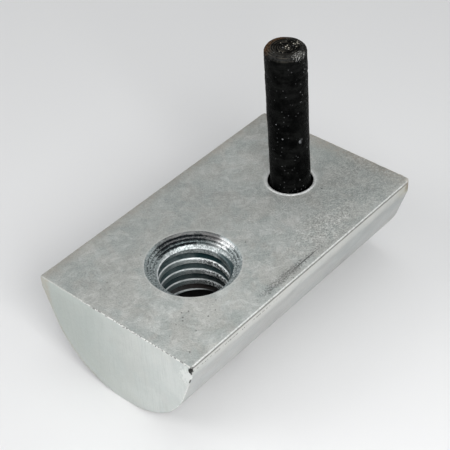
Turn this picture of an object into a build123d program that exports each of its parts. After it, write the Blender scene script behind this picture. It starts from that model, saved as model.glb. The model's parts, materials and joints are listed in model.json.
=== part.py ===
from build123d import *
import os
from math import cos, radians, sin, tan

# T slot nut with a flexible handle. Millimetres. The origin is the centre of the flat clamping face,
# +Z points out of that face, +X runs along the nut from its threaded end to its handle end.

# nut
nut_length = 24.2
nut_width = 14.0  # over the two upright flanks
nut_height = 7.75  # from the clamping face to the lowest line of the belly
flank_height = 0.9  # upright flank under the clamping face
side_taper = 20.0  # degrees that each side leans inwards below its flank
edge_break = 0.18  # broken long edges of the clamping face
end_break = 0.12  # broken edges all round both sawn ends

# threaded hole, drilled from the clamping face
hole_from_end = 7.45  # hole axis to the threaded end
hole_off_centre = 0.5  # hole axis to the nut's middle line
tap_diameter = 5.0  # minor diameter of an M6 thread
countersink_width = 0.9  # the 90 degree countersink around the thread's mouth
thread_end = 4.9  # depth at which the thread ends
relief_width = 0.9  # how much wider than the thread, all round, the relief below it is
drill_point = 118.0  # degrees, tip of the drill that made the relief

# handle, a round rod set upright in the nut
handle_diameter = 3.0
handle_rise = 11.5  # above the clamping face
handle_from_end = 5.4  # handle axis to the handle end of the nut
handle_edge_round = 0.3
ring_diameter = 1.3  # shallow ring groove in the handle's free end
ring_width = 0.16
ring_depth = 0.1

# seat of the handle
seat_depth = 5.0
seat_clearance = 0.02  # radial, around the handle
mouth_clearance = 0.175  # radial, the wider mouth of the seat
mouth_depth = 0.8
mouth_round = 0.12

# derived sizes
half_width = nut_width / 2
taper = radians(side_taper)
# The belly is one arc about the nut's middle line. It touches both tapered sides as a tangent
# and has its lowest line at the nut's full height.
belly_radius = (half_width * cos(taper) - sin(taper) * (nut_height - flank_height)) / (1 - sin(taper))
belly_centre = belly_radius - nut_height
taper_foot = (belly_radius * cos(taper), belly_centre - belly_radius * sin(taper))
hole_x = hole_from_end - nut_length / 2
hole_y = -hole_off_centre
tap_radius = tap_diameter / 2
relief_radius = tap_radius + relief_width
relief_point = relief_width / tan(radians(drill_point / 2))
handle_x = nut_length / 2 - handle_from_end
handle_radius = handle_diameter / 2
ring_radius = ring_diameter / 2

os.makedirs("parts", exist_ok=True)

# Nut: a drawn bar of D section, sawn to length.
with BuildPart() as nut_body:
    with BuildSketch(Plane.YZ):
        with BuildLine():
            Polyline(
                (0, 0),
                (half_width - edge_break, 0),
                (half_width, -edge_break),
                (half_width, -flank_height),
                taper_foot,
            )
            JernArc(
                start=taper_foot,
                tangent=(-sin(taper), -cos(taper)),
                radius=belly_radius,
                arc_size=side_taper - 90,
            )
            mirror(about=Plane.YZ)
        make_face()
    extrude(amount=nut_length / 2, both=True)
    chamfer(nut_body.faces().filter_by(Axis.X).edges(), length=end_break)

    # threaded hole with its countersink, right through the nut
    with Locations((hole_x, hole_y, 0)):
        CounterSinkHole(
            radius=tap_radius,
            counter_sink_radius=tap_radius + countersink_width,
            counter_sink_angle=90,
        )

    # relief, drilled up from the belly to where the thread ends
    with BuildSketch(Plane.XZ.offset(-hole_y)):
        with BuildLine():
            Polyline(
                (hole_x, -thread_end),
                (hole_x + tap_radius, -thread_end),
                (hole_x + relief_radius, -thread_end - relief_point),
                (hole_x + relief_radius, -2 * nut_height),
                (hole_x, -2 * nut_height),
                close=True,
            )
        make_face()
    revolve(axis=Axis((hole_x, hole_y, 0), (0, 0, 1)), mode=Mode.SUBTRACT)

    # seat of the handle
    with Locations((handle_x, 0, 0)):
        CounterBoreHole(
            radius=handle_radius + seat_clearance,
            counter_bore_radius=handle_radius + mouth_clearance,
            counter_bore_depth=mouth_depth,
            depth=seat_depth,
        )
    mouth_edge = nut_body.edges().filter_by(GeomType.CIRCLE).group_by(Axis.Z)[-1].sort_by(Axis.X)[-1]
    fillet(mouth_edge, radius=mouth_round)

nut_body.part.label = "nut_body"
export_step(nut_body.part, "parts/nut_body.step")

# Handle: stands on the floor of its seat.
with BuildPart() as flex_handle:
    with BuildSketch(Plane.XY.offset(-seat_depth)):
        with Locations((handle_x, 0)):
            Circle(handle_radius)
    extrude(amount=seat_depth + handle_rise)
    fillet(flex_handle.edges().group_by(Axis.Z)[-1], radius=handle_edge_round)
    with BuildSketch(Plane.XY.offset(handle_rise)):
        with Locations((handle_x, 0)):
            Circle(ring_radius + ring_width / 2)
            Circle(ring_radius - ring_width / 2, mode=Mode.SUBTRACT)
    extrude(amount=-ring_depth, mode=Mode.SUBTRACT)

flex_handle.part.label = "flex_handle"
export_step(flex_handle.part, "parts/flex_handle.step")
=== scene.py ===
import json
from math import cos, pi, radians, sin, tan

import bmesh
import bpy
from mathutils import Matrix, Vector


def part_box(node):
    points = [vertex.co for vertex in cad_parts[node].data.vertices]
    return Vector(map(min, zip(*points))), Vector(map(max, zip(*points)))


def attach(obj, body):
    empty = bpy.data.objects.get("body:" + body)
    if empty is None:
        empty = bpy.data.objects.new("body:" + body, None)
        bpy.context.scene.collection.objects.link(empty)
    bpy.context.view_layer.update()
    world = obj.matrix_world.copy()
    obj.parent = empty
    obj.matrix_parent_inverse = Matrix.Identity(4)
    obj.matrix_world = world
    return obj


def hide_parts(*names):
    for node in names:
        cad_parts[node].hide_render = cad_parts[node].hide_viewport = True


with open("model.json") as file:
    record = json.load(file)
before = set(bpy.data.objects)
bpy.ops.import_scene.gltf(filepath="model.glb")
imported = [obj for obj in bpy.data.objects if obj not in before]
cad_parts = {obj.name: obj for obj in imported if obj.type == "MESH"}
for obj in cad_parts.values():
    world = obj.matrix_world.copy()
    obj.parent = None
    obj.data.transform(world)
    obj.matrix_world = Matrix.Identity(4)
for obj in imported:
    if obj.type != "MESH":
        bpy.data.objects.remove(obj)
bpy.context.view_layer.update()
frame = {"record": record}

# The pieces are modelled in millimetres, then brought to metres when they are finished.
MM = 1000.0

# ---- sizes that the frame gives

nut_low, nut_high = (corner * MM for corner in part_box("nut_body"))
rod_low, rod_high = (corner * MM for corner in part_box("flex_handle"))
thread_mount = next(m for m in frame["record"]["mounts"] if m["name"] == "thread")

nut_length = nut_high.x - nut_low.x
nut_width = nut_high.y - nut_low.y
nut_height = -nut_low.z
tap_radius = thread_mount["dims"]["r_mm"]
hole_x = thread_mount["pos_m"][0] * MM
hole_y = thread_mount["pos_m"][1] * MM
thread_end = -thread_mount["pos_m"][2] * MM + thread_mount["dims"]["length_mm"] / 2
rod_x = (rod_low.x + rod_high.x) / 2
rod_radius = (rod_high.x - rod_low.x) / 2
rod_top = rod_high.z
seat_depth = -rod_low.z

# ---- sizes of the nut's own forms

half_width = nut_width / 2
half_length = nut_length / 2
flank_height = 0.9
side_taper = radians(20)
belly_radius = (half_width * cos(side_taper) - sin(side_taper) * (nut_height - flank_height)) / (
    1 - sin(side_taper)
)
belly_centre = belly_radius - nut_height

edge_break = 0.14
end_break = 0.07
crease_break = 0.04
far_corner_round = 0.42
near_corner_round = 0.12
# the corners' rounding grows from nothing at this depth to its full size, over this height
corner_foot = 1.6
corner_growth = 0.6
long_share = 0.8  # an edge counts as long when it runs along this much of the bar
slice_length = 0.2
# how far the burr reaches from an end, and how far all roughness reaches from the section's outline
burr_reach = 0.12
rough_reach = 0.3
skin_depth = 0.03  # what lies less deep than this belongs to the bar's outside
# where the burr at the near corner has broken away: how far across, how high, and how large
nicks = ((-6.97, -0.36, 0.24), (-6.93, -1.42, 0.20))
nick_out = 0.04  # how far outside the end their middles lie

countersink_depth = 0.9
rim_radius = tap_radius + countersink_depth
chatter_rings = (0.23, 0.42, 0.61)  # depths of the rings that the countersink tool left
ring_groove = 0.05

relief_step = 0.9
relief_radius = tap_radius + relief_step
relief_point = relief_step / tan(radians(59))  # the height of the shoulder that the drill's point left

thread_pitch = 1.0
thread_major = 3.0
crest_width = 0.36
crest_round = 0.08
root_width = 0.13
thread_turns = 6
turn_steps = 96
# on this side of the hole, the upper edge of a crest lies at this height
timing_side = radians(45)
crest_timing = -0.88

mouth_radius = rod_radius + 0.175
mouth_round = 0.12
mouth_depth = 0.8
seat_clearance = 0.02

tool_rise = 0.5  # how far the hole's and the seat's tools stand out of the clamping face
weld = 2e-4  # points closer than this are merged when the nut is cut

# ---- how the finishes are spread

face_metallic = 0.55
end_metallic = 0.6
side_metallic = 0.6
hole_metallic = 0.5
# the sides of the hole on which its countersink carries painted shade, a painted highlight and a dull tone,
# and its thread is dull and torn
shaded_cone_side = radians(48)
highlight_cone_side = radians(10)
dull_cone_side = radians(150)
dull_thread_side = radians(120)
torn_side = radians(-5)

# ---- modelling helpers


def deselect():
    if bpy.context.object and bpy.context.object.mode != "OBJECT":
        bpy.ops.object.mode_set(mode="OBJECT")
    bpy.ops.object.select_all(action="DESELECT")


def activate(piece):
    deselect()
    piece.select_set(True)
    bpy.context.view_layer.objects.active = piece


def edit(piece):
    """Open a piece in edit mode with nothing selected."""
    activate(piece)
    bpy.ops.object.mode_set(mode="EDIT")
    bpy.ops.mesh.select_mode(type="VERT")
    bpy.ops.mesh.select_all(action="DESELECT")


def select_long_edges(piece, axis, shortest, wanted=lambda p: True):
    """In edit mode, select the edges that run far along an axis, and whose two ends both pass a test."""
    bpy.ops.mesh.select_mode(type="EDGE")
    bpy.ops.mesh.select_all(action="DESELECT")
    mesh = bmesh.from_edit_mesh(piece.data)
    for edge in mesh.edges:
        start, stop = (v.co for v in edge.verts)
        if abs(start[axis] - stop[axis]) > shortest and wanted(start) and wanted(stop):
            edge.select_set(True)
    bmesh.update_edit_mesh(piece.data)


def settle():
    """Apply the active piece's place, turn and size to its mesh."""
    bpy.ops.object.transform_apply(location=True, rotation=True, scale=True)


def close_up():
    """Turn every face of the piece in edit mode outwards, and leave edit mode."""
    bpy.ops.mesh.select_all(action="SELECT")
    bpy.ops.mesh.normals_make_consistent(inside=False)
    bpy.ops.object.mode_set(mode="OBJECT")


def apply_modifier(piece, modifier):
    activate(piece)
    bpy.ops.object.modifier_apply(modifier=modifier.name)


def lathe(name, rings, centre=(0, 0), steps=turn_steps, lean=(0, 0)):
    """A closed turned shape: a disc at the first ring, extruded ring by ring. A ring is (radius, height).

    Above the clamping face, its axis may lean by so much for each unit of height."""
    deselect()
    radius, height = rings[0]
    bpy.ops.mesh.primitive_circle_add(
        vertices=steps, radius=radius, fill_type="NGON", location=(centre[0], centre[1], height)
    )
    piece = bpy.context.object
    piece.name = name
    settle()
    bpy.ops.object.mode_set(mode="EDIT")
    bpy.ops.mesh.select_all(action="SELECT")
    for next_radius, next_height in rings[1:]:
        step = max(0.0, next_height) - max(0.0, height)
        rise = (lean[0] * step, lean[1] * step, next_height - height)
        bpy.ops.mesh.extrude_region_move(TRANSFORM_OT_translate={"value": rise})
        share = next_radius / radius
        out = max(0.0, next_height)
        middle = (centre[0] + lean[0] * out, centre[1] + lean[1] * out, next_height)
        bpy.ops.transform.resize(value=(share, share, 1), center_override=middle)
        radius, height = next_radius, next_height
    close_up()
    return piece


def cut(piece, tool):
    """Subtract a tool from a piece, and throw the tool away."""
    boolean = piece.modifiers.new("cut", "BOOLEAN")
    boolean.operation = "DIFFERENCE"
    boolean.solver = "EXACT"
    boolean.object = tool
    apply_modifier(piece, boolean)
    bpy.data.objects.remove(tool, do_unlink=True)


def roughen(piece, name, weights, size, amount):
    """Push the points of a piece in and out along their normals with cloud noise, each by its own weight."""
    group = piece.vertex_groups.new(name=name)
    for index, weight in weights.items():
        group.add([index], weight, "REPLACE")
    noise = bpy.data.textures.new(name, "CLOUDS")
    noise.noise_scale = size
    noise.noise_depth = 2
    displace = piece.modifiers.new(name, "DISPLACE")
    displace.texture = noise
    displace.texture_coords = "LOCAL"
    displace.vertex_group = group.name
    displace.strength = amount
    displace.mid_level = 0.5
    apply_modifier(piece, displace)


def to_metres(piece):
    activate(piece)
    piece.scale = (1 / MM,) * 3
    settle()


# ---- the nut


def nut_bar():
    """The drawn D bar: the belly's round bar and the block of the flanks, hulled into one section."""
    deselect()
    bpy.ops.mesh.primitive_cylinder_add(
        vertices=144,
        radius=belly_radius,
        depth=nut_length - 2 * end_break,
        end_fill_type="NGON",
        location=(0, 0, belly_centre),
        rotation=(0, pi / 2, 0),
    )
    bar = bpy.context.object
    bar.name = "nut"
    settle()
    edit(bar)
    bpy.ops.mesh.select_all(action="SELECT")
    # the round bar is kept only where the hull needs it, below the block
    under_block = (0, 0, -flank_height - 0.3)
    bpy.ops.mesh.bisect(plane_co=under_block, plane_no=(0, 0, 1), clear_outer=True, threshold=1e-5)
    bpy.ops.mesh.primitive_cube_add(
        size=1,
        location=(0, 0, -flank_height / 2),
        scale=(nut_length - 2 * end_break, nut_width, flank_height),
    )
    bpy.ops.mesh.select_all(action="SELECT")
    bpy.ops.mesh.convex_hull(face_threshold=radians(0.5), shape_threshold=radians(0.5))
    bpy.ops.mesh.select_all(action="SELECT")
    # each sawn end becomes one face again
    bpy.ops.mesh.dissolve_limited(angle_limit=radians(0.5))
    bpy.ops.object.mode_set(mode="OBJECT")
    return bar


def select_end(bar, side):
    """In edit mode, select the sawn end that faces one way along X."""
    bpy.ops.mesh.select_mode(type="FACE")
    bpy.ops.mesh.select_all(action="DESELECT")
    mesh = bmesh.from_edit_mesh(bar.data)
    for face in mesh.faces:
        face.select_set(face.normal.x * side > 0.99)
    bmesh.update_edit_mesh(bar.data)


def break_edges(bar):
    """Break the clamping face's long edges, the creases under the flanks, and the outlines of the ends."""
    near = 1e-3
    edit(bar)
    for depth, width, segments in ((0, edge_break, 4), (flank_height, crease_break, 2)):
        select_long_edges(
            bar,
            0,
            nut_length * long_share,
            lambda p: abs(p.z + depth) < near and abs(abs(p.y) - half_width) < near,
        )
        bpy.ops.mesh.bevel(offset=width, offset_type="OFFSET", segments=segments, affect="EDGES")
    for side in (-1, 1):
        select_end(bar, side)
        for angle in (0, 30, 60):
            start, stop = radians(angle), radians(angle + 30)
            bpy.ops.mesh.inset(thickness=end_break * (cos(start) - cos(stop)))
            out = end_break * (sin(stop) - sin(start))
            bpy.ops.transform.translate(value=(side * out, 0, 0))
    bpy.ops.object.mode_set(mode="OBJECT")


def slice_bar(bar):
    """Divide the long edges of the bar and of its ends, to give them points to be roughened by."""
    for axis, length in ((0, nut_length), (1, nut_width)):
        edit(bar)
        select_long_edges(bar, axis, length * long_share)
        bpy.ops.mesh.subdivide(number_cuts=round(length / slice_length))
        bpy.ops.object.mode_set(mode="OBJECT")


def under_skin(p):
    """How deep a point of the nut lies under its drawn section's outline."""
    out = half_width - abs(p.y)
    depths = [-p.z, out, cos(side_taper) * out + sin(side_taper) * (p.z + flank_height)]
    if p.z < belly_centre - belly_radius * sin(side_taper):
        depths.append(belly_radius - Vector((p.y, p.z - belly_centre)).length)
    return min(depths)


def round_corners(bar):
    """Round the upright corners of the flanks, the far ones more. The rounding runs out down the tapers."""
    for vertex in bar.data.vertices:
        p = vertex.co
        most = far_corner_round if p.x > 0 else near_corner_round
        radius = most * min(1.0, max(0.01, (p.z + corner_foot) / corner_growth))
        along = radius - (half_length - abs(p.x))
        out = radius - (half_width - abs(p.y))
        reach = Vector((along, out)).length
        if along > 0 and out > 0 and reach > radius:
            pull = 1 - radius / reach
            p.x -= along * pull * (1 if p.x > 0 else -1)
            p.y -= out * pull * (1 if p.y > 0 else -1)


def roughen_edges(bar):
    """Sawn ends carry an uneven burr round their outlines, and the drawn edges are a little wavy."""
    burr, wave = {}, {}
    for vertex in bar.data.vertices:
        p = vertex.co
        from_end = half_length - abs(p.x)
        from_skin = max(0.0, under_skin(p))
        if from_end < burr_reach and from_skin < rough_reach:
            burr[vertex.index] = (1 - from_end / burr_reach) * (1 - from_skin / rough_reach)
        elif p.z > -rough_reach and half_width - abs(p.y) < rough_reach:
            wave[vertex.index] = 1.0
    roughen(bar, "end_burr", burr, size=0.35, amount=0.07)
    roughen(bar, "edge_wave", wave, size=0.6, amount=0.02)


def hole_tool():
    """The drill, countersink and relief cutters as one turned tool. The countersink chattered in rings."""
    rings = [
        (relief_radius, -nut_height - 1),
        (relief_radius, -thread_end - relief_point),
        (tap_radius, -thread_end),
        (tap_radius, -countersink_depth),
    ]
    for depth in reversed(chatter_rings):
        rings.append((rim_radius - depth - ring_groove, -depth - ring_groove))
        rings.append((rim_radius - depth + ring_groove, -depth - ring_groove))
        rings.append((rim_radius - depth + ring_groove, -depth + ring_groove))
    rings.append((rim_radius + tool_rise, tool_rise))
    return lathe("hole_tool", rings, centre=(hole_x, hole_y))


def thread_tool():
    """The tap: a ridge of the thread's groove form, wound up through the hole as a right-hand helix."""
    opening = (thread_pitch - crest_width) / 2
    # the ridge's foot stands in the open bore, a little wider than the groove's mouth
    side = [
        (tap_radius - 0.25, opening + 0.01),
        (tap_radius - 0.001, opening + 0.01),
        (tap_radius + crest_round, opening - crest_round),
        (thread_major, root_width / 2),
    ]
    outline = side + [(radius, -height) for radius, height in reversed(side)]
    mesh = bpy.data.meshes.new("thread_tool")
    mesh.from_pydata(
        [(radius, 0, height) for radius, height in outline],
        [(i, (i + 1) % len(outline)) for i in range(len(outline))],
        [],
    )
    ridge = bpy.data.objects.new("thread_tool", mesh)
    bpy.context.collection.objects.link(ridge)
    screw = ridge.modifiers.new("wind", "SCREW")
    screw.axis = "Z"
    screw.angle = 2 * pi
    screw.screw_offset = thread_pitch
    screw.steps = turn_steps
    screw.render_steps = turn_steps
    screw.iterations = thread_turns
    apply_modifier(ridge, screw)
    edit(ridge)
    bpy.ops.mesh.select_mode(type="EDGE")
    bpy.ops.mesh.select_non_manifold()
    bpy.ops.mesh.edge_face_add()
    close_up()
    # a groove's middle lies half a crest and half an opening below a crest's upper edge
    groove_timing = crest_timing - crest_width - opening
    lowest = groove_timing - (thread_turns - 1) * thread_pitch
    ridge.location = (hole_x, hole_y, lowest - thread_pitch * timing_side / (2 * pi))
    activate(ridge)
    settle()
    return ridge


def seat_tool():
    """The handle's seat with its wider, rounded mouth."""
    rings = [
        (rod_radius + seat_clearance, -seat_depth),
        (rod_radius + seat_clearance, -mouth_depth),
        (mouth_radius, -mouth_depth),
    ]
    for step in range(6):
        angle = radians(18) * step
        rings.append((mouth_radius + mouth_round * (1 - cos(angle)), -mouth_round * (1 - sin(angle))))
    rings.append((mouth_radius + mouth_round, tool_rise))
    return lathe("seat_tool", rings, centre=(rod_x, 0))


def nick_tool(y, z, radius):
    """A ball that takes a bite out of the near end's upright corner."""
    deselect()
    middle = (-half_length - nick_out, y, z)
    bpy.ops.mesh.primitive_ico_sphere_add(subdivisions=3, radius=radius, location=middle)
    tool = bpy.context.object
    settle()
    roughen(tool, "nick", {v.index: 1.0 for v in tool.data.vertices}, size=0.3, amount=0.2)
    return tool


def finish_nut():
    nut = nut_bar()
    break_edges(nut)
    slice_bar(nut)
    round_corners(nut)
    roughen_edges(nut)
    cut(nut, hole_tool())
    cut(nut, seat_tool())
    cut(nut, thread_tool())
    for nick in nicks:
        cut(nut, nick_tool(*nick))
    edit(nut)
    bpy.ops.mesh.select_all(action="SELECT")
    bpy.ops.mesh.remove_doubles(threshold=weld)
    bpy.ops.mesh.dissolve_degenerate(threshold=weld)
    close_up()
    return nut


# ---- the handle

rod_round = 0.3
crease_height = 9.55
crease_depth = 0.05
crease_reach = 0.2
rod_ring = 0.12
rod_lean = (-0.0125, 0.0134)


def finish_rod():
    """The flexible rod: built up in fine rings, with a crease below its free end, and a groove in the end."""
    rings = [(rod_radius, -seat_depth), (rod_radius, -mouth_depth - 0.2)]
    height = -mouth_depth
    while height < rod_top - rod_round - rod_ring:
        from_crease = abs(height - crease_height)
        rings.append((rod_radius - crease_depth * max(0.0, 1 - from_crease / crease_reach), height))
        height += rod_ring
    for step in range(7):
        angle = radians(15) * step
        rings.append((rod_radius - rod_round * (1 - cos(angle)), rod_top - rod_round * (1 - sin(angle))))
    # the ring groove in the free end, and the dimple in its middle
    rings += [
        (0.95, rod_top - 0.01),
        (0.74, rod_top - 0.015),
        (0.68, rod_top - 0.09),
        (0.60, rod_top - 0.09),
        (0.52, rod_top - 0.01),
        (0.30, rod_top - 0.02),
        (0.10, rod_top - 0.05),
    ]
    rod = lathe("rod", rings, centre=(rod_x, 0), steps=80, lean=rod_lean)
    shown = {v.index: 1.0 for v in rod.data.vertices if v.co.z > -mouth_depth}
    roughen(rod, "waver", shown, size=1.6, amount=0.07)
    roughen(rod, "pitting", shown, size=0.22, amount=0.035)
    return rod


# ---- stage, camera and light


def look():
    """The camera, placed by its angle round the nut and its distance from the clamping face."""
    azimuth, elevation, roll = radians(-46.95), radians(40.36), radians(-3.42)
    target = Vector((-0.247, 0.40, 0)) / MM
    distance = 90.7 / MM
    back = Vector((sin(azimuth) * cos(elevation), -cos(azimuth) * cos(elevation), sin(elevation)))
    level = Vector((cos(azimuth), sin(azimuth), 0))
    up = back.cross(level)
    right = cos(roll) * level + sin(roll) * up
    top = cos(roll) * up - sin(roll) * level
    camera = bpy.data.objects.new("camera", bpy.data.cameras.new("camera"))
    camera.data.sensor_width = 36
    camera.data.lens = 101.98
    camera.data.clip_start = 0.001
    camera.data.clip_end = 10
    turn = Matrix((right, top, back)).transposed().to_4x4()
    camera.matrix_world = Matrix.Translation(target + back * distance) @ turn
    bpy.context.collection.objects.link(camera)
    bpy.context.scene.camera = camera


def softbox(name, place, size, power, colour=(1, 1, 1)):
    """A square softbox, aimed at the middle of the nut. Place and size are in millimetres."""
    lamp = bpy.data.lights.new(name, "AREA")
    lamp.shape = "SQUARE"
    lamp.size = size / MM
    lamp.energy = power
    lamp.color = colour
    box = bpy.data.objects.new(name, lamp)
    box.location = Vector(place) / MM
    box.rotation_euler = Vector(place).to_track_quat("Z", "Y").to_euler()
    box.visible_camera = False
    bpy.context.collection.objects.link(box)


def stage():
    deselect()
    bpy.ops.mesh.primitive_plane_add(size=4, location=(0, 0, -nut_height / MM))
    floor = bpy.context.object
    floor.name = "floor"
    material = bpy.data.materials.new("pale_floor")
    material.use_nodes = True
    shader = material.node_tree.nodes["Principled BSDF"]
    shader.inputs["Base Color"].default_value = (0.74, 0.74, 0.74, 1)
    shader.inputs["Roughness"].default_value = 0.9
    shader.inputs["Specular IOR Level"].default_value = 0.1
    floor.data.materials.append(material)

    world = bpy.data.worlds.new("studio")
    bpy.context.scene.world = world
    world.use_nodes = True
    # the studio is a little brighter overhead than round the horizon
    tree = world.node_tree
    sky = put(tree, "ShaderNodeSeparateXYZ", {"Vector": put(tree, "ShaderNodeTexCoord").outputs["Generated"]})
    tree.links.new(ramp(sky.outputs["Z"], 0.2, 1.0, 0.42, 0.56), tree.nodes["Background"].inputs["Strength"])
    tree.nodes["Background"].inputs["Color"].default_value = (0.97, 0.985, 1, 1)
    softbox("left_softbox", (-140, 110, 130), 120, 0.13)
    softbox("top_softbox", (40, 10, 220), 120, 0.05)
    softbox("front_softbox", (-42, -70, 58), 45, 0.073)

    view = bpy.context.scene.view_settings
    view.view_transform = "Standard"


# ---- finishes

def put(tree, kind, wires=None, **settings):
    """Add a node. A wire joins one of its sockets to a value or to another node's output."""
    node = tree.nodes.new(kind)
    for name, value in settings.items():
        setattr(node, name, value)
    for socket, value in (wires or {}).items():
        if isinstance(value, bpy.types.NodeSocket):
            tree.links.new(value, node.inputs[socket])
        else:
            node.inputs[socket].default_value = value
    return node


def tree_of(*values):
    """The node tree that the first socket among some values is in."""
    return next(value.id_data for value in values if isinstance(value, bpy.types.NodeSocket))


def calc(operation, *values):
    """The output of one Math node."""
    return put(tree_of(*values), "ShaderNodeMath", dict(enumerate(values)), operation=operation).outputs[0]


def vector(operation, *values, output="Vector"):
    """An output of one Vector Math node."""
    node = put(tree_of(*values), "ShaderNodeVectorMath", dict(enumerate(values)), operation=operation)
    return node.outputs[output]


def times(first, *others):
    """Values multiplied together."""
    for value in others:
        first = calc("MULTIPLY", first, value)
    return first


def ramp(value, low, high, to_low=0.0, to_high=1.0):
    """A value brought from one range to another, smoothly and without overshoot."""
    wires = {"Value": value, "From Min": low, "From Max": high, "To Min": to_low, "To Max": to_high}
    return put(tree_of(value), "ShaderNodeMapRange", wires, interpolation_type="SMOOTHSTEP").outputs[0]


def blend(share, first, second):
    """The output of one colour Mix node, whose colours are sockets 6 and 7."""
    wires = {0: share}
    for socket, colour in ((6, first), (7, second)):
        wires[socket] = colour if isinstance(colour, bpy.types.NodeSocket) else (*colour, 1)
    return put(tree_of(share, first, second), "ShaderNodeMix", wires, data_type="RGBA").outputs[2]


def laid(under, tone, *masks):
    """A tone laid over a colour, as thick as the masks multiplied together."""
    return blend(times(*masks), under, tone)


def moved(place, turn=(0, 0, 0), shift=(0, 0, 0), scale=(1, 1, 1)):
    """The place, turned by degrees and shifted, for a pattern that lies another way."""
    angles = tuple(radians(angle) for angle in turn)
    wires = {"Vector": place, "Rotation": angles, "Location": shift, "Scale": scale}
    return put(tree_of(place), "ShaderNodeMapping", wires).outputs[0]


def distance(place, centre):
    return vector("DISTANCE", place, centre, output="Value")


def together(x, y, z):
    """A vector made of three values."""
    return put(tree_of(x, y, z), "ShaderNodeCombineXYZ", {"X": x, "Y": y, "Z": z}).outputs[0]


def off_axis(place, x, y=0):
    """How far a place is from an upright axis."""
    return distance(moved(place, scale=(1, 1, 0)), (x, y, 0))


def noise(place, **wires):
    """The value of one Noise Texture node."""
    return put(tree_of(place), "ShaderNodeTexNoise", {"Vector": place, **wires}).outputs[0]


def new_group(name, inputs, output, kind="NodeSocketFloat"):
    """A shader node group. Returns its named inputs, and a function that wires up its output."""
    tree = bpy.data.node_groups.new(name, "ShaderNodeTree")
    for socket, default in inputs.items():
        socket_type = "NodeSocketVector" if default is None else "NodeSocketFloat"
        made = tree.interface.new_socket(name=socket, in_out="INPUT", socket_type=socket_type)
        if default is not None:
            made.default_value = default
    tree.interface.new_socket(name=output, in_out="OUTPUT", socket_type=kind)
    given = tree.nodes.new("NodeGroupInput").outputs
    end = tree.nodes.new("NodeGroupOutput")

    def give(value):
        tree.links.new(value, end.inputs[output])
        return tree

    return given, give


def clouding_group():
    """Soft cloudy patches of a size in millimetres, from 0 to 1."""
    inputs = {"Place": None, "Size": 2.0, "Spread": 0.25, "Warp": 0.0}
    given, give = new_group("clouding", inputs, "Cloud")
    scale = calc("DIVIDE", 1.0, given["Size"])
    cloud = noise(given["Place"], Scale=scale, Detail=4.0, Roughness=0.6, Distortion=given["Warp"])
    low = calc("SUBTRACT", 0.5, given["Spread"])
    high = calc("ADD", 0.5, given["Spread"])
    return give(ramp(cloud, low, high))


def specks_group():
    """Scattered round specks of a size. A share of the cells, which are a spacing apart, has one."""
    inputs = {"Place": None, "Spacing": 0.5, "Size": 0.1, "Share": 0.3}
    given, give = new_group("specks", inputs, "Specks")
    wires = {"Vector": given["Place"], "Scale": calc("DIVIDE", 1.0, given["Spacing"])}
    cells = put(tree_of(given["Place"]), "ShaderNodeTexVoronoi", wires).outputs
    reach = calc("DIVIDE", given["Size"], given["Spacing"])
    inside = ramp(cells["Distance"], reach, times(reach, 0.4))
    draw = put(tree_of(given["Place"]), "ShaderNodeSeparateColor", {"Color": cells["Color"]}).outputs[0]
    return give(times(inside, calc("LESS_THAN", draw, given["Share"])))


def scratches_group():
    """Fine broken lines along the X of the place that is given."""
    inputs = {"Place": None, "Spacing": 0.5, "Length": 12.0, "Fine": 0.02}
    given, give = new_group("scratches", inputs, "Lines")
    across = calc("DIVIDE", 1.0, given["Spacing"])
    along = calc("DIVIDE", across, given["Length"])
    stretch = together(along, across, across)
    ridges = noise(vector("MULTIPLY", given["Place"], stretch), Scale=1.0, Detail=1.0)
    off = calc("ABSOLUTE", calc("SUBTRACT", ridges, 0.5))
    return give(ramp(off, given["Fine"], 0.0))


def zinc_tint_group():
    """The plating's own colour: cool and warm greys that cloud into each other."""
    given, give = new_group("zinc_tint", {"Place": None, "Size": 2.0}, "Color", "NodeSocketColor")
    wires = {"Scale": calc("DIVIDE", 1.0, given["Size"]), "Roughness": 0.62, "Distortion": 0.6}
    light = ramp(noise(given["Place"], Detail=5.0, **wires), 0.36, 0.64)
    warmth = noise(moved(given["Place"], shift=(17, 5, 3)), Detail=2.0, **wires)
    cool = blend(light, (0.39, 0.425, 0.41), (0.53, 0.555, 0.535))
    warm = blend(light, (0.425, 0.43, 0.405), (0.55, 0.555, 0.525))
    return give(blend(ramp(warmth, 0.40, 0.60), cool, warm))


def streak_group():
    """A ragged mark of a length and width, lying along X about a place."""
    inputs = {"Place": None, "X": 0.0, "Y": 0.0, "Z": 0.0, "Length": 1.0, "Width": 0.3, "Ragged": 0.5}
    given, give = new_group("streak", inputs, "Mark")
    off = vector("SUBTRACT", given["Place"], together(given["X"], given["Y"], given["Z"]))
    size = together(given["Length"], given["Width"], given["Width"])
    reach = vector("LENGTH", vector("DIVIDE", off, size), output="Value")
    ragged = calc("SUBTRACT", noise(given["Place"], Scale=6.0, Detail=4.0, Roughness=0.7), 0.5)
    ragged = times(ragged, given["Ragged"])
    return give(ramp(calc("ADD", reach, ragged), 0.55, 0.30))


def drawn_line_group():
    """A thin line where a value passes a level, broken up along its way."""
    inputs = {"Place": None, "Value": 0.0, "Level": 0.0, "Width": 0.03, "Broken": 0.5}
    given, give = new_group("drawn_line", inputs, "Line")
    off = calc("ABSOLUTE", calc("SUBTRACT", given["Value"], given["Level"]))
    line = ramp(off, given["Width"], times(given["Width"], 0.3))
    gaps = noise(given["Place"], Scale=3.5, Detail=2.0, Roughness=0.7)
    low = times(given["Broken"], 0.5)
    return give(times(line, ramp(gaps, low, calc("ADD", low, 0.1))))


def browning_group():
    """A ragged brown stain that comes in as a value passes from one level to another."""
    inputs = {"Place": None, "Value": 0.0, "Start": 0.0, "Full": 1.0}
    given, give = new_group("browning", inputs, "Stain")
    ragged = noise(given["Place"], Scale=2.5, Detail=4.0, Roughness=0.6)
    reach = ramp(given["Value"], given["Start"], given["Full"])
    return give(times(reach, ramp(ragged, 0.3, 0.7, 0.3, 1.0)))


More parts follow.
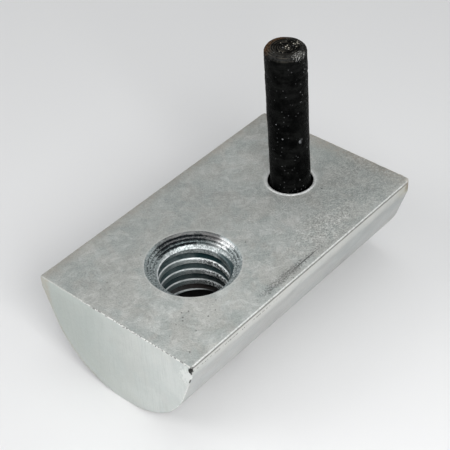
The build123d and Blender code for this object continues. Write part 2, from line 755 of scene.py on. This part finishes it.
clouding = clouding_group()
specks = specks_group()
scratches = scratches_group()
zinc_tint = zinc_tint_group()
streak = streak_group()
drawn_line = drawn_line_group()
browning = browning_group()


def effect(group, place, **values):
    """Place an effect's node group with its own values, and return its output."""
    return put(tree_of(place), "ShaderNodeGroup", {"Place": place, **values}, node_tree=group).outputs[0]


def new_material(name, metallic, specular=0.5):
    """A material, and its piece's own coordinates in millimetres, together and apart."""
    material = bpy.data.materials.new(name)
    material.use_nodes = True
    tree = material.node_tree
    shader = tree.nodes["Principled BSDF"]
    shader.inputs["Metallic"].default_value = metallic
    shader.inputs["Specular IOR Level"].default_value = specular
    place = moved(put(tree, "ShaderNodeTexCoord").outputs["Object"], scale=(MM, MM, MM))
    return material, place, put(tree, "ShaderNodeSeparateXYZ", {"Vector": place}).outputs


def surface(material, colour, roughness, height, depth, **others):
    """Wire up a finish: its colour, its roughness, and its bumps, which are up to a depth in millimetres."""
    tree = material.node_tree
    bump = put(tree, "ShaderNodeBump", {"Height": height, "Distance": depth / MM}).outputs[0]
    for socket, value in {"Base Color": colour, "Roughness": roughness, "Normal": bump, **others}.items():
        tree.links.new(value, tree.nodes["Principled BSDF"].inputs[socket])
    return material


def plated_face():
    """The clamping face: clouded zinc with hairlines, pits and a scuff beside the long edge."""
    material, place, axes = new_material("plated_face", metallic=face_metallic)
    flat = moved(place, scale=(1, 1, 0))
    colour = effect(zinc_tint, place, Size=1.9)
    grain = effect(clouding, place, Size=0.28, Spread=0.22)
    grit = effect(clouding, place, Size=0.13, Spread=0.12)
    fleck = effect(clouding, moved(place, shift=(5, 3, 8)), Size=0.10, Spread=0.10)
    colour = laid(colour, (0.24, 0.25, 0.24), grain, 0.18)
    colour = laid(colour, (0.74, 0.75, 0.72), grit, 0.22)
    colour = laid(colour, (0.20, 0.21, 0.20), fleck, 0.22)
    # pale smears, and painted shade in darker clouds towards the far end
    smears = effect(clouding, moved(flat, shift=(8, 2, 6)), Size=1.3, Spread=0.16, Warp=2.2)
    colour = laid(colour, (0.88, 0.89, 0.86), ramp(smears, 0.55, 1.0), 0.20)
    shade = effect(streak, place, X=10.9, Y=-0.6, Length=3.4, Width=5.0, Ragged=1.6)
    colour = laid(colour, (0.22, 0.26, 0.245), shade, 0.42)
    shade = effect(streak, place, X=9.0, Y=-4.2, Length=9.0, Width=4.2, Ragged=1.2)
    colour = laid(colour, (0.22, 0.24, 0.225), shade, 0.32)
    light = effect(streak, place, X=2.8, Y=-2.6, Length=4.0, Width=2.6, Ragged=1.4)
    colour = laid(colour, (0.85, 0.87, 0.85), light, 0.18)

    # hairlines both ways
    lines = effect(scratches, moved(place, turn=(0, 0, 38)), Spacing=0.3, Length=14.0, Fine=0.02)
    cross = effect(scratches, moved(place, turn=(0, 0, -50)), Spacing=0.5, Length=9.0, Fine=0.015)
    colour = laid(colour, (0.90, 0.90, 0.88), lines, 0.12)
    colour = laid(colour, (0.30, 0.31, 0.30), cross, 0.12)

    # the edges of the face have gone brownish
    ragged = effect(clouding, place, Size=0.8, Spread=0.3)
    along = effect(browning, place, Value=axes["Y"], Start=half_width - 1.1, Full=half_width)
    across = effect(browning, place, Value=axes["X"], Start=half_length - 1.6, Full=half_length)
    colour = laid(colour, (0.42, 0.385, 0.335), calc("MAXIMUM", along, across))

    # smudged and rougher beyond the handle's near side
    rough = times(ramp(axes["X"], 1.2, 3.6), ramp(axes["Y"], 0.8, -2.4), 0.24)
    smudges = effect(clouding, moved(flat, shift=(4, 9, 1)), Size=1.0, Spread=0.13, Warp=1.2)
    strokes = effect(clouding, moved(flat, shift=(1, 7, 2)), Size=0.34, Spread=0.14, Warp=2.0)
    colour = laid(colour, (0.20, 0.20, 0.18), rough, grit)
    colour = laid(colour, (0.15, 0.175, 0.16), rough, smudges)
    colour = laid(colour, (0.88, 0.88, 0.85), rough, ramp(strokes, 0.4, 1.0))
    # and roughest beside the long edge, between the two holes
    chafed = effect(streak, place, X=3.2, Y=-5.4, Length=7.0, Width=2.8, Ragged=1.8)
    colour = laid(colour, (0.13, 0.13, 0.115), chafed, ramp(grit, 0.55, 0.95), 0.40)
    colour = laid(colour, (0.95, 0.95, 0.91), chafed, ramp(strokes, 0.35, 0.9), 0.30)

    # a painted highlight on the ring round the handle's mouth, and on the rim of the countersink
    rod_off = off_axis(place, rod_x)
    ring = ramp(rod_off, mouth_radius + 0.55, mouth_radius + 0.12)
    rim = times(ramp(off_axis(place, hole_x, hole_y), rim_radius + 0.16, rim_radius + 0.02), 0.45)
    rim_highlight = times(calc("MAXIMUM", ring, rim), ramp(ragged, 0.0, 1.0, 0.3, 0.9))
    colour = laid(colour, (0.92, 0.93, 0.91), rim_highlight, 0.6)

    # painted shade, darker towards the far end and the far long edge
    far_side_shade = times(ramp(axes["Y"], -4.0, 4.0, 0.0, 0.24), ramp(axes["X"], 7.0, 1.0, 0.25, 1.0))
    far_shade = calc("ADD", ramp(axes["X"], -9.0, 2.0, 0.0, 0.12), far_side_shade)
    colour = laid(colour, (0.20, 0.21, 0.20), far_shade)

    # pits, thickest in front of the threaded hole
    dots = effect(specks, place, Spacing=0.8, Size=0.09, Share=0.15)
    cluster = effect(streak, place, X=-8.6, Y=-4.1, Length=5.0, Width=3.4, Ragged=0.6)
    second = effect(streak, place, X=-9.6, Y=2.6, Length=3.0, Width=2.0, Ragged=0.4)
    thick = effect(specks, moved(place, shift=(3, 1, 2)), Spacing=0.36, Size=0.09, Share=0.6)
    thick = times(thick, calc("MAXIMUM", cluster, times(second, 0.5)))
    pits = calc("MAXIMUM", dots, thick)
    colour = laid(colour, (0.10, 0.10, 0.095), pits, 0.8)

    # the dark scuff beside the long edge
    scuff = effect(streak, place, X=-1.5, Y=-6.33, Length=6.2, Width=0.66, Ragged=2.0)
    score = effect(streak, place, X=0.3, Y=-6.36, Length=3.4, Width=0.10, Ragged=0.35)
    scuff = calc("MAXIMUM", times(scuff, ramp(grit, 0.1, 0.8, 0.25, 1.0), 0.65), times(score, 0.9))
    colour = laid(colour, (0.06, 0.06, 0.06), scuff)

    roughness = ramp(grain, 0.0, 1.0, 0.50, 0.66)
    height = calc("SUBTRACT", calc("ADD", times(grain, 0.5), grit), pits)
    height = calc("SUBTRACT", height, times(calc("ADD", lines, scuff), 0.4))
    # the handle's drill raised a low lip round the mouth, with a painted highlight on its front side
    lip = ramp(rod_off, mouth_radius + mouth_round + 0.20, mouth_radius + mouth_round + 0.07)
    lit_lip_side = ramp(calc("ADD", axes["X"], axes["Y"]), rod_x - 0.6, rod_x - 2.2, 0.1, 1.0)
    lit_lip_side = times(lit_lip_side, ramp(grit, 0.0, 0.6, 0.6, 1.0))
    colour = laid(colour, (0.95, 0.96, 0.95), lip, lit_lip_side)
    height = calc("ADD", height, times(lip, 4.0))
    # the far corner is worn
    worn = effect(streak, place, X=half_length, Y=-half_width, Length=1.1, Width=0.8, Ragged=0.9)
    colour = laid(colour, (0.88, 0.85, 0.78), worn, 0.5)
    return surface(material, colour, roughness, height, depth=0.012)


def plated_end():
    """The sawn ends: paler and more even, with faint upright saw lines and a few pits."""
    material, place, axes = new_material("plated_end", metallic=end_metallic)
    colour = effect(zinc_tint, moved(place, shift=(0, 4, 9)), Size=3.2)
    colour = laid(colour, (0.80, 0.83, 0.81), 0.55)
    grain = effect(clouding, place, Size=0.22, Spread=0.3)
    lines = effect(scratches, moved(place, turn=(0, 90, 0)), Spacing=0.17, Length=30.0, Fine=0.05)
    colour = laid(colour, (0.42, 0.45, 0.43), lines, 0.20)
    # painted shade: the end grows darker towards its +Y side
    colour = laid(colour, (0.46, 0.51, 0.475), ramp(axes["Y"], -5.5, 6.0, 0.0, 0.7))
    # a painted highlight on the end's rounded corner at its -Y side
    corner_highlight = effect(streak, place, X=-half_length, Y=-6.75, Z=-1.1, Length=1.5, Width=1.7, Ragged=1.8)
    colour = laid(colour, (0.93, 0.94, 0.92), corner_highlight, 0.45)
    from_middle = distance(moved(place, scale=(0, 1, 1)), (0, 0, belly_centre))
    browned = effect(browning, place, Value=from_middle, Start=belly_radius - 0.45, Full=belly_radius + 0.05)
    colour = laid(colour, (0.50, 0.44, 0.36), browned, ramp(axes["Y"], 1.0, 4.0, 0.0, 0.65))
    dots = effect(specks, place, Spacing=0.9, Size=0.11, Share=0.12)
    colour = laid(colour, (0.14, 0.15, 0.14), dots, 0.7)
    roughness = ramp(grain, 0.0, 1.0, 0.42, 0.56)
    height = calc("SUBTRACT", grain, times(lines, 0.5))
    return surface(material, colour, roughness, height, depth=0.008)


def plated_side():
    """Flanks, tapers and belly: drawn lengthwise, with soft clouds and two scored lines in the flanks."""
    material, place, axes = new_material("plated_side", metallic=side_metallic)
    colour = effect(zinc_tint, moved(place, shift=(6, 2, 0), scale=(0.5, 1, 1)), Size=1.8)
    colour = laid(colour, (0.48, 0.485, 0.49), 0.5)
    # paler towards the near end, and warmer up the flanks
    colour = laid(colour, (0.83, 0.825, 0.815), ramp(axes["X"], -8.0, 6.0, 0.12, 0.0))
    colour = laid(colour, (0.80, 0.80, 0.745), ramp(axes["Z"], -1.1, -0.4, 0.0, 0.38))
    grain = effect(clouding, place, Size=0.2, Spread=0.3)
    lines = effect(scratches, place, Spacing=0.2, Length=25.0, Fine=0.04)
    colour = laid(colour, (0.45, 0.46, 0.45), lines, 0.15)
    # one scored line runs under the long edges, and a broken one near the end that has the hole
    stretched = moved(place, scale=(2.5, 1, 1))
    dotted = effect(drawn_line, stretched, Value=axes["Z"], Level=-0.47, Width=0.07, Broken=0.95)
    near_end = times(ramp(axes["X"], -2.0, -6.0), ramp(axes["Y"], 0.0, -1.0))
    score = effect(drawn_line, stretched, Value=axes["Z"], Level=-edge_break - 0.03, Width=0.07, Broken=0.3)
    dark = calc("MAXIMUM", times(dotted, near_end, 0.9), times(score, 0.75))
    colour = laid(colour, (0.10, 0.10, 0.09), dark)
    # the far end of the flanks is brownish, and its corner worn
    browned = effect(browning, place, Value=axes["X"], Start=half_length - 2.4, Full=half_length)
    colour = laid(colour, (0.50, 0.44, 0.30), browned, ramp(axes["Z"], -1.6, -0.4, 0.0, 0.6))
    worn = effect(streak, place, X=half_length, Y=-half_width, Z=-0.5, Length=1.5, Width=1.1, Ragged=0.5)
    colour = laid(colour, (0.24, 0.20, 0.13), worn, 0.75)
    roughness = ramp(grain, 0.0, 1.0, 0.42, 0.56)
    height = calc("SUBTRACT", grain, times(calc("ADD", lines, dark), 0.5))
    return surface(material, colour, roughness, height, depth=0.008)


def rubbed_edge():
    """Broken edges and burrs: rubbed bright, with dark pits along them."""
    material, place, axes = new_material("rubbed_edge", metallic=0.7)
    grain = effect(clouding, place, Size=0.16, Spread=0.25)
    pits = effect(clouding, moved(place, shift=(2, 7, 5)), Size=0.24, Spread=0.06)
    colour = blend(grain, (0.62, 0.63, 0.61), (0.93, 0.94, 0.92))
    # a painted highlight, brightest along the crown
    colour = laid(colour, (1.0, 1.0, 0.98), ramp(axes["Z"], -0.08, -0.05), ramp(grain, 0.0, 0.8, 0.0, 0.8))
    # a scored line runs along the foot of the long edges' rounding
    score = effect(drawn_line, place, Value=axes["Z"], Level=-edge_break, Width=0.07, Broken=0.15)
    colour = laid(colour, (0.10, 0.10, 0.09), score, 0.9)
    # the burr along the near end is the most pitted
    end = times(ramp(axes["X"], -half_length + 0.5, -half_length + 0.2), ramp(axes["Z"], -0.6, -0.3))
    colour = laid(colour, (0.50, 0.51, 0.475), end, ramp(axes["Y"], 0.5, 5.0, 0.3, 0.8))
    end = times(end, ramp(axes["Y"], 5.0, 0.5, 0.1, 1.0))
    colour = laid(colour, (0.10, 0.10, 0.09), ramp(pits, 0.45, 0.95), ramp(end, 0.0, 1.0, 0.12, 0.75))
    # painted shade: the handle's mouth is dark below its rim
    mouth = mouth_radius + mouth_round
    in_mouth = ramp(off_axis(place, rod_x), mouth + 0.06, mouth - 0.01)
    colour = laid(colour, (0.012, 0.012, 0.012), in_mouth, ramp(axes["Z"], -0.03, -0.09))
    # painted shade: the nicks are dark inside
    for y, z, radius in nicks:
        inside = ramp(distance(place, (-half_length - nick_out, y, z)), radius + 0.12, radius + 0.03)
        colour = laid(colour, (0.03, 0.03, 0.028), inside, 0.95)
    browned = effect(browning, place, Value=axes["X"], Start=half_length - 1.2, Full=half_length)
    colour = laid(colour, (0.62, 0.52, 0.40), browned, 0.7)
    roughness = ramp(grain, 0.0, 1.0, 0.48, 0.34)
    return surface(material, colour, roughness, grain, depth=0.015)


def hole_plating():
    """The threaded hole: a cone with rings, painted shade and a painted highlight on the cone, painted light
    on the crests, and painted shade in grooves and relief.
    """
    material, place, axes = new_material("hole_plating", metallic=hole_metallic, specular=0.25)
    radius = off_axis(place, hole_x, hole_y)
    depth = times(axes["Z"], -1.0)
    grain = effect(clouding, place, Size=0.13, Spread=0.2)
    clouds = effect(clouding, place, Size=1.1, Spread=0.18)
    dots = effect(specks, place, Spacing=0.2, Size=0.05, Share=0.4)
    colour = blend(grain, (0.20, 0.235, 0.235), (0.66, 0.70, 0.70))
    colour = laid(colour, (0.10, 0.12, 0.12), dots, 0.6)

    way = vector("NORMALIZE", vector("SUBTRACT", moved(place, scale=(1, 1, 0)), (hole_x, hole_y, 0)))
    ragged = times(clouds, 0.2)

    def towards(side):
        """How near a point of the hole's wall is to one side, with a ragged limit."""
        return calc("ADD", vector("DOT_PRODUCT", way, (cos(side), sin(side), 0), output="Value"), ragged)

    # a painted highlight on one side of the cone and painted shade on another, except along its foot
    in_cone = ramp(depth, countersink_depth + 0.04, countersink_depth - 0.01)
    cone = blend(grain, (0.18, 0.22, 0.22), (0.66, 0.71, 0.71))
    cone_highlight = times(ramp(towards(highlight_cone_side), 0.93, 1.05), ramp(depth, 0.03, 0.15))
    cone_highlight = times(cone_highlight, ramp(grain, 0.0, 0.5, 0.3, 1.0))
    cone = laid(cone, (1.0, 1.0, 1.0), cone_highlight)
    above_foot = ramp(depth, countersink_depth - 0.16, countersink_depth - 0.26)
    colour = laid(colour, cone, in_cone, above_foot)
    cone_shade = ramp(towards(shaded_cone_side), 0.62, 0.98)
    tone = blend(ramp(depth, 0.3, 0.6), (0.085, 0.078, 0.075), (0.13, 0.19, 0.19))
    # the countersink left fine lines round it
    combed = effect(clouding, moved(place, scale=(0.5, 0.5, 5.0)), Size=0.3, Spread=0.12)
    tone = laid(tone, (0.03, 0.035, 0.035), combed, 0.7)
    # the painted shade, with the fine lines in it, is laid on the cone's shaded side
    colour = laid(colour, tone, cone_shade, above_foot, in_cone, 0.88)
    dull_side = times(ramp(towards(dull_cone_side), 0.3, 1.0), in_cone)
    colour = laid(colour, (0.20, 0.24, 0.24), dull_side, 0.35)
    # painted shade lies in the rings, and a painted highlight runs along the foot
    lines = None
    ring_width = ramp(cone_shade, 0.0, 0.6, 0.07, 0.12)
    wavy_depth = calc("ADD", depth, ramp(grain, 0.0, 1.0, -0.03, 0.03))
    for ring in chatter_rings:
        line = effect(drawn_line, place, Value=wavy_depth, Level=ring, Width=ring_width, Broken=0.35)
        lines = line if lines is None else calc("MAXIMUM", lines, line)
    lines = times(lines, in_cone, ramp(cone_shade, 0.0, 0.6, 0.7, 1.0), ramp(cone_highlight, 0.0, 0.8, 1.0, 0.3))
    colour = laid(colour, (0.012, 0.015, 0.018), lines)
    foot = effect(drawn_line, place, Value=depth, Level=countersink_depth - 0.03, Width=0.07, Broken=0.0)
    foot_shine = calc("ADD", ramp(grain, 0.0, 0.7, 0.0, 0.2), ramp(dull_side, 0.0, 0.6, 0.0, 0.6))
    colour = laid(colour, (0.93, 0.96, 0.97), foot, foot_shine)

    # painted light: below the cone, the crests under the first one are painted brightest
    below_cone = ramp(depth, countersink_depth - 0.02, countersink_depth + 0.05)
    below_first = ramp(depth, 1.35, 1.5)
    colour = laid(colour, (0.90, 0.95, 0.95), below_first, ramp(depth, 2.7, 2.2, 0.0, 0.5))
    # the tap marked them along its way
    along = moved(place, turn=(4, -3, 0), scale=(0.35, 0.35, 2.4))
    tap_marks = effect(clouding, along, Size=0.26, Spread=0.12)
    colour = laid(colour, (0.06, 0.08, 0.08), below_cone, ramp(tap_marks, 0.7, 0.0, 0.0, 0.42))
    # painted shade darkens them with depth, and a painted highlight lies on their lips
    colour = laid(colour, (0.15, 0.16, 0.16), below_cone, ramp(depth, 1.4, 4.0, 0.0, 0.7))
    lips = ramp(radius, tap_radius + 0.002, tap_radius + 0.014)
    shine = times(ramp(towards(dull_cone_side), 0.0, 0.7, 0.25, 1.0), ramp(clouds, 0.2, 0.7, 0.65, 1.0))
    lips = times(lips, below_first, shine, ramp(tap_marks, 0.0, 0.5, 0.85, 1.0))
    colour = laid(colour, (0.93, 0.96, 0.96), lips)
    # painted shade lies in the grooves, brown in the lowest of them
    groove = ramp(radius, tap_radius + crest_round * 0.8, tap_radius + crest_round * 1.3)
    groove_shade = times(groove, below_cone, ramp(clouds, 0.0, 1.0, 0.90, 1.0))
    tone = blend(ramp(depth, 3.4, 4.4), (0.008, 0.028, 0.032), (0.042, 0.034, 0.032))
    colour = laid(colour, tone, groove_shade)
    # on one side the crests are darker too, and on another the tap tore them
    dulled = times(ramp(towards(dull_thread_side), 0.35, 1.0), below_cone)
    dulled = times(dulled, ramp(radius, tap_radius + 0.03, tap_radius + 0.01, 0.3, 1.0))
    colour = laid(colour, (0.10, 0.14, 0.145), dulled, 0.8)
    torn = times(ramp(towards(torn_side), 0.75, 1.05), below_first)
    torn = times(torn, ramp(radius, tap_radius + 0.05, tap_radius + 0.02))
    torn_colour = blend(ramp(grain, 0.25, 0.7), (0.02, 0.03, 0.03), (0.95, 0.97, 0.97))
    colour = laid(colour, torn_colour, torn, 0.8)
    # the first crest, just under the cone, is dark at the hole's sides
    beside = ramp(towards(shaded_cone_side), 0.92, 0.68)
    colour = laid(colour, (0.05, 0.075, 0.08), below_cone, ramp(depth, 1.45, 1.3), beside, 0.85)
    # painted shade: the relief is painted black
    in_relief = ramp(depth, thread_end - 0.06, thread_end + 0.02)
    colour = laid(colour, (0.004, 0.004, 0.004), in_relief)
    metallic = times(calc("SUBTRACT", 1.0, in_relief), hole_metallic)
    roughness = ramp(calc("MAXIMUM", groove_shade, in_relief), 0.0, 1.0, 0.36, 0.7)
    return surface(material, colour, roughness, grain, depth=0.012, Metallic=metallic)


def black_rubber():
    """Black rubber, mottled, with dust and painted glints thickest on one side, and worn paler round its free
    end.
    """
    material, place, axes = new_material("black_rubber", metallic=0.0, specular=0.02)
    clouds = effect(clouding, place, Size=0.8, Spread=0.2)
    grain = effect(clouding, place, Size=0.15, Spread=0.2)
    turned = moved(place, turn=(23, 37, 11))
    dust_and_glints = effect(specks, turned, Spacing=0.24, Size=0.062, Share=0.36)
    colour = blend(clouds, (0.0005, 0.0006, 0.0006), (0.0036, 0.0038, 0.0036))
    ringed = effect(clouding, moved(place, scale=(0.25, 0.25, 4.0)), Size=0.8, Spread=0.12)
    colour = laid(colour, (0.010, 0.0105, 0.010), ringed, ramp(clouds, 0.2, 0.9), 0.5)
    # specks of dust with painted glints, most of them on the lit side, then lint, and a larger fleck of it
    dusty_and_lit_side = ramp(calc("SUBTRACT", axes["X"], rod_x), -1.2, 0.9, 0.25, 1.0)
    colour = laid(colour, (0.20, 0.202, 0.205), dust_and_glints, dusty_and_lit_side)
    lint = effect(specks, moved(turned, shift=(1, 2, 3)), Spacing=0.5, Size=0.085, Share=0.30)
    colour = laid(colour, (0.21, 0.215, 0.22), lint, ramp(grain, 0.1, 0.7))
    stuck = effect(streak, place, X=rod_x - 0.49, Y=-1.38, Z=4.37, Length=0.3, Width=0.42, Ragged=1.9)
    colour = laid(colour, (0.16, 0.165, 0.17), stuck, ramp(grain, 0.2, 0.6))
    # the free end is worn: grey round its shoulder, brown on one side, with bright crumbs in the middle
    top = ramp(axes["Z"], rod_top - 0.36, rod_top - 0.14)
    from_middle = off_axis(place, rod_x + rod_lean[0] * rod_top, rod_lean[1] * rod_top)
    shoulder = ramp(from_middle, rod_radius - rod_round - 0.25, rod_radius - rod_round)
    tone = blend(ramp(axes["Y"], 0.4, 1.2), (0.026, 0.026, 0.025), (0.085, 0.045, 0.022))
    colour = laid(colour, tone, top, shoulder, ramp(grain, 0.1, 0.9, 0.25, 1.0))
    rings = ramp(calc("SINE", times(from_middle, 38.0)), 0.2, 1.0)
    colour = laid(colour, (0.075, 0.068, 0.055), top, rings, ramp(clouds, 0.2, 0.8, 0.1, 0.7))
    chips = effect(specks, moved(turned, shift=(6, 1, 3)), Spacing=0.15, Size=0.07, Share=0.38)
    nub = effect(streak, place, X=rod_x + 0.1, Y=0.1, Z=rod_top, Length=1.9, Width=1.5, Ragged=0.8)
    colour = laid(colour, (0.50, 0.47, 0.40), nub, chips)
    # frayed scratches at the right shoulder, lightened as a painted highlight
    frayed = effect(scratches, moved(place, turn=(30, 50, 20)), Spacing=0.13, Length=9.0, Fine=0.045)
    fray_and_highlight = effect(streak, place, X=rod_x - 0.3, Y=-1.25, Z=rod_top - 0.08, Length=1.3, Width=0.8, Ragged=1.0)
    colour = laid(colour, (0.48, 0.48, 0.46), fray_and_highlight, frayed)
    roughness = ramp(grain, 0.0, 1.0, 0.60, 0.34)
    return surface(material, colour, roughness, calc("ADD", grain, clouds), depth=0.02)


def finish_zones(nut):
    """Give each face of the nut the finish of its zone."""
    near = 0.02
    face, end, side, edge, hole = range(5)
    for finish in (plated_face(), plated_end(), plated_side(), rubbed_edge(), hole_plating()):
        nut.data.materials.append(finish)
    for polygon in nut.data.polygons:
        p, n = polygon.center, polygon.normal
        from_hole = Vector((p.x - hole_x, p.y - hole_y)).length
        from_rod = Vector((p.x - rod_x, p.y)).length
        from_end = half_length - abs(p.x)
        deep = under_skin(p)
        skin = deep < skin_depth
        from_nick = min((p - Vector((-half_length, y, z))).length - radius for y, z, radius in nicks)
        in_nick = from_nick < 0.05 and not (skin or abs(n.x) > 0.99)
        on_burr = from_end < end_break + near and deep < end_break + near and 0.12 < abs(n.x) < 0.96
        on_long_edge = skin and p.z > -edge_break and abs(p.y) > half_width - edge_break
        if in_nick or on_burr:
            zone = edge
        elif from_end < 0.1 and abs(n.x) > 0.9:
            zone = end
        elif skin and n.z > 0.93:
            zone = face
        elif on_long_edge:
            zone = edge
        elif from_hole < relief_radius + near and not (skin and n.z < 0):
            zone = hole
        elif from_rod < mouth_radius + mouth_round + 0.01 and p.z > -seat_depth - 0.1:
            zone = edge
        else:
            zone = side
        polygon.material_index = zone


nut = finish_nut()
finish_zones(nut)
to_metres(nut)
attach(nut, "root")
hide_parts("nut_body")

rod = finish_rod()
to_metres(rod)
rod.data.materials.append(black_rubber())
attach(rod, "root")
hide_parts("flex_handle")

for piece in (nut, rod):
    activate(piece)
    bpy.ops.object.shade_smooth_by_angle(angle=radians(30))

stage()
look()
